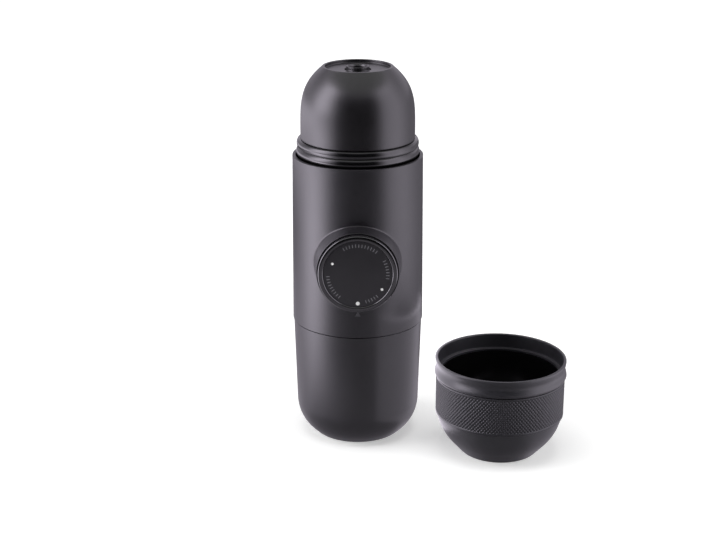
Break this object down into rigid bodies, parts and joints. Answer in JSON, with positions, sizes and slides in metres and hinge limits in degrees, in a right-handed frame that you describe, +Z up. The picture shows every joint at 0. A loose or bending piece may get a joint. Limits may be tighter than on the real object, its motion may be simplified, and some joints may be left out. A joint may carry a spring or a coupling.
{
  "type": "handheld manual espresso maker",
  "caption": "Pocket espresso maker worked by a hand piston, standing on its water tank, with its round-bottomed cup beside it.",
  "frame": {"origin": "middle of the water tank's flat base, on the surface that it stands on", "axes": "+Z up along the body's axis, the piston's knob faces -Y, the cup stands towards +X"},
  "size_m": [0.1261, 0.0846, 0.1751],
  "materials": {
    "soft_grey": "soft-touch matt",
    "cup_grey": "matt with a raised diamond texture on the band",
    "gloss_black": "polished",
    "satin_black": "satin",
    "inner_plastic": "natural moulded",
    "steel": "brushed",
    "brass": "turned",
    "silicone": "matt translucent",
    "black_rubber": "matt",
    "mark_white": "printed",
    "mark_grey": "printed"
  },
  "bodies": {
    "tank": {"tank_shell": "soft_grey"},
    "body": {"main_body_shell": "soft_grey", "body_base": "satin_black", "tank_seal": "silicone", "inlet_strainer": "steel", "vent_valve": "silicone", "base_screws": "steel", "pump_block": "inner_plastic", "inlet_valve_seat": "brass", "inlet_valve_spring": "steel", "outlet_valve_spring": "steel", "port_seals": "black_rubber", "cylinder_cap": "satin_black", "return_spring": "steel", "piston_guide": "gloss_black", "body_index_mark": "mark_grey", "brew_head": "satin_black", "brew_head_screws": "steel", "neck_ring": "gloss_black", "basket_gasket": "silicone", "shower_screen": "steel", "screen_screw": "steel"},
    "inlet_valve": {"inlet_valve_poppet": "silicone"},
    "outlet_valve": {"outlet_valve_poppet": "silicone"},
    "plunger": {"piston_rod": "steel", "plunger_head": "inner_plastic", "plunger_seals": "black_rubber", "rod_clip": "steel"},
    "knob": {"knob_cap": "satin_black", "knob_rim": "gloss_black", "knob_face": "satin_black", "knob_marks": "mark_white"},
    "head": {"outlet_head_shell": "soft_grey", "filter_basket": "steel", "filter_seat": "satin_black", "nozzle_tube": "gloss_black", "nozzle_diverter": "satin_black", "crema_valve_spring": "steel"},
    "crema_valve": {"crema_valve_poppet": "silicone"},
    "cup": {"cup_shell": "cup_grey", "cup_collar": "soft_grey", "cup_bowl": "gloss_black"}
  },
  "joints": [
    {"name": "body_lift", "type": "slide", "parent": "tank", "child": "body", "axis": [0, 0, 1], "range_m": [0, 0.06]},
    {"name": "head_lift", "type": "slide", "parent": "body", "child": "head", "axis": [0, 0, 1], "range_m": [0, 0.045]},
    {"name": "piston_slide", "type": "slide", "parent": "body", "child": "plunger", "axis": [0, -1, 0], "range_m": [0, 0.022], "deforming": ["return_spring"]},
    {"name": "knob_turn", "type": "hinge", "parent": "plunger", "child": "knob", "pos_m": [0, -0.036, 0.0907], "axis": [0, 1, 0], "range_deg": [0, 60]},
    {"name": "inlet_valve_lift", "type": "slide", "parent": "body", "child": "inlet_valve", "axis": [0, 0, 1], "range_m": [0, 0.0012], "stiffness_N_per_m": 100, "springref_m": -0.003, "deforming": ["inlet_valve_spring"]},
    {"name": "outlet_valve_lift", "type": "slide", "parent": "body", "child": "outlet_valve", "axis": [0, 0, 1], "range_m": [0, 0.0012], "stiffness_N_per_m": 100, "springref_m": -0.003, "deforming": ["outlet_valve_spring"]},
    {"name": "crema_valve_lift", "type": "slide", "parent": "head", "child": "crema_valve", "axis": [0, 0, 1], "range_m": [0, 0.0012], "stiffness_N_per_m": 100, "springref_m": -0.003, "deforming": ["crema_valve_spring"]},
    {"name": "cup_lift", "type": "slide", "parent": "tank", "child": "cup", "axis": [0, 0, 1], "range_m": [0, 0.08]}
  ]
}
